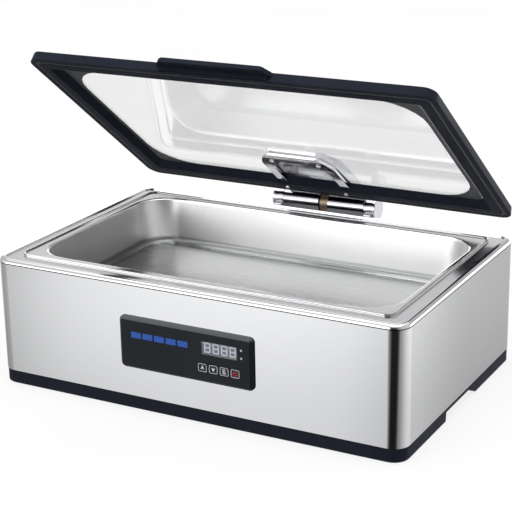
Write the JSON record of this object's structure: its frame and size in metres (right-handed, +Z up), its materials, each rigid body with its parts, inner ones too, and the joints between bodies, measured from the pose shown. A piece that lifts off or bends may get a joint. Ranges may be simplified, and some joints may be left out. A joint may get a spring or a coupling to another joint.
{
  "type": "food warmer",
  "caption": "Countertop hot-water food warmer: steel body with heated tank, full-size food pan, front control panel and a framed glass lid on a damped rear hinge.",
  "frame": {"origin": "centre of the open appliance's footprint, on the surface its feet stand on", "axes": "+X to the right seen from the control panel, +Y towards the hinge at the rear, +Z up"},
  "size_m": [0.58, 0.43, 0.438],
  "materials": {
    "brushed_steel": "satin",
    "polished_steel": "polished",
    "chrome": "mirror polished",
    "bronze": "plain",
    "spring_steel": "plain",
    "black_plastic": "fine satin",
    "panel_black": "matte",
    "key_black": "matte",
    "black_rubber": "matte",
    "grey_silicone": "matte",
    "clear_glass": "clear polished",
    "black_frit": "opaque printed",
    "smoked_lens": "gloss",
    "blue_led": "lit",
    "white_led": "lit",
    "circuit_board": "satin",
    "insulation": "fibrous"
  },
  "bodies": {
    "appliance": {"base_frame": "black_plastic", "bottom_plate": "brushed_steel", "foot_front_left": "black_rubber", "foot_front_right": "black_rubber", "foot_rear_left": "black_rubber", "foot_rear_right": "black_rubber", "outer_shell": "brushed_steel", "rim_frame": "polished_steel", "food_pan": "brushed_steel", "water_tank": "brushed_steel", "heating_element": "spring_steel", "insulation_pad": "insulation", "heater_tray": "brushed_steel", "temperature_sensor": "bronze", "thermal_cutout": "bronze", "power_board": "circuit_board", "power_inlet": "black_plastic", "inlet_contacts": "spring_steel", "control_bezel": "panel_black", "display_module": "panel_black", "digit_1": "white_led", "digit_2": "white_led", "digit_3": "white_led", "digit_4": "white_led", "display_lens": "smoked_lens", "led_bar_strip": "blue_led", "indicator_run": "white_led", "indicator_heat": "white_led", "key_mat": "grey_silicone", "control_board": "circuit_board", "hinge_bracket": "chrome", "bracket_screw_left": "spring_steel", "bracket_screw_right": "spring_steel", "hinge_pin": "spring_steel", "hinge_cap_left": "chrome", "hinge_cap_right": "chrome", "hinge_bush": "bronze", "torsion_spring": "spring_steel", "hinge_damper": "black_plastic"},
    "key_up_cap": {"key_up": "key_black"},
    "key_down_cap": {"key_down": "key_black"},
    "key_set_cap": {"key_set": "key_black"},
    "key_power_cap": {"key_power": "key_black"},
    "lid": {"lid_frame": "black_plastic", "lid_seal": "grey_silicone", "lid_glass": "clear_glass", "glass_border": "black_frit", "lid_handle": "black_plastic", "clamp_loop": "chrome", "loop_gasket": "black_rubber", "hinge_cover": "chrome", "hinge_barrel_left": "chrome", "hinge_barrel_right": "chrome", "clamp_screw_left": "chrome", "clamp_screw_right": "chrome", "frame_screw_left": "chrome", "frame_screw_right": "chrome"}
  },
  "joints": [
    {"name": "lid_hinge", "type": "hinge", "parent": "appliance", "child": "lid", "pos_m": [-0.003, 0.19503, 0.1744], "axis": [-1, 0, 0], "range_deg": [-37.7, 50]},
    {"name": "key_up_press", "type": "slide", "parent": "appliance", "child": "key_up_cap", "axis": [0, 1, 0], "range_m": [0, 0.0008], "stiffness_N_per_m": 900, "springref_m": -0.0005},
    {"name": "key_down_press", "type": "slide", "parent": "appliance", "child": "key_down_cap", "axis": [0, 1, 0], "range_m": [0, 0.0008], "stiffness_N_per_m": 900, "springref_m": -0.0005},
    {"name": "key_set_press", "type": "slide", "parent": "appliance", "child": "key_set_cap", "axis": [0, 1, 0], "range_m": [0, 0.0008], "stiffness_N_per_m": 900, "springref_m": -0.0005},
    {"name": "key_power_press", "type": "slide", "parent": "appliance", "child": "key_power_cap", "axis": [0, 1, 0], "range_m": [0, 0.0008], "stiffness_N_per_m": 900, "springref_m": -0.0005}
  ]
}
